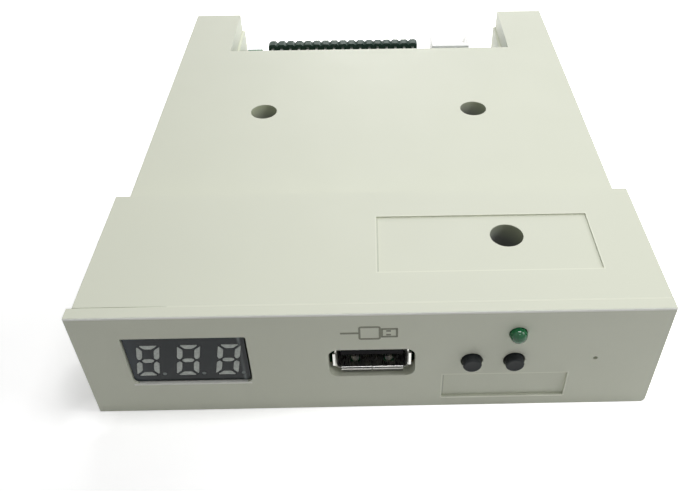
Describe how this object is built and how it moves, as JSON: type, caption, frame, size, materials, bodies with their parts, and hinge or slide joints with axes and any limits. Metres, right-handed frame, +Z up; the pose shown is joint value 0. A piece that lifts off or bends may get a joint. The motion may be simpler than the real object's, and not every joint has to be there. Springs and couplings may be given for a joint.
{
  "type": "floppy drive emulator",
  "caption": "Bay-mount drive emulator: flat moulded case with a stepped cover, front panel with display, data socket, push buttons and lamp, rear pin connectors in an open notch.",
  "frame": {"origin": "middle of the box round the whole unit, on the underside that it rests on", "axes": "+Z up, +Y from the front panel to the rear connectors, +X to the right when facing the panel"},
  "size_m": [0.1016, 0.1268, 0.0254],
  "materials": {
    "case": "fine moulded texture",
    "screw_steel": "zinc plated",
    "board": "solder mask",
    "socket_metal": "nickel plated sheet",
    "black_plastic": "moulded",
    "header_plastic": "moulded",
    "pin_gold": "gold flash",
    "tinned_metal": "tinned",
    "display_face": "satin",
    "display_segment": "diffusing resin",
    "button_plastic": "moulded",
    "lamp_green": "tinted clear resin",
    "white_nylon": "moulded",
    "can_aluminium": "drawn can"
  },
  "bodies": {
    "housing": {"bottom_case": "case", "top_cover": "case", "case_screws": "screw_steel", "main_board": "board", "socket_shell": "socket_metal", "socket_insulator": "black_plastic", "socket_contacts": "pin_gold", "display_block": "display_face", "display_segments": "display_segment", "display_board": "board", "display_driver": "black_plastic", "display_driver_leads": "tinned_metal", "link_header": "black_plastic", "link_pins": "pin_gold", "switch_bodies": "black_plastic", "switch_covers": "tinned_metal", "switch_domes": "tinned_metal", "switch_leads": "tinned_metal", "lamp_lens": "lamp_green", "lamp_wires": "tinned_metal", "data_header": "header_plastic", "data_pins": "tinned_metal", "power_header": "white_nylon", "power_pins": "tinned_metal", "jumper_header": "header_plastic", "jumper_pins": "pin_gold", "jumper_cap": "black_plastic", "controller_chip": "black_plastic", "controller_leads": "tinned_metal", "buffer_chips": "black_plastic", "buffer_leads": "tinned_metal", "crystal_can": "can_aluminium", "crystal_base": "tinned_metal", "regulator": "black_plastic", "regulator_leads": "tinned_metal", "capacitor_cans": "can_aluminium", "capacitor_bases": "black_plastic", "chip_resistors": "black_plastic"},
    "left_button": {"button_left": "button_plastic"},
    "right_button": {"button_right": "button_plastic"}
  },
  "joints": [
    {"name": "left_button_press", "type": "slide", "parent": "housing", "child": "left_button", "axis": [0, 1, 0], "range_m": [0, 0.00025], "stiffness_N_per_m": 4000},
    {"name": "right_button_press", "type": "slide", "parent": "housing", "child": "right_button", "axis": [0, 1, 0], "range_m": [0, 0.00025], "stiffness_N_per_m": 4000}
  ]
}
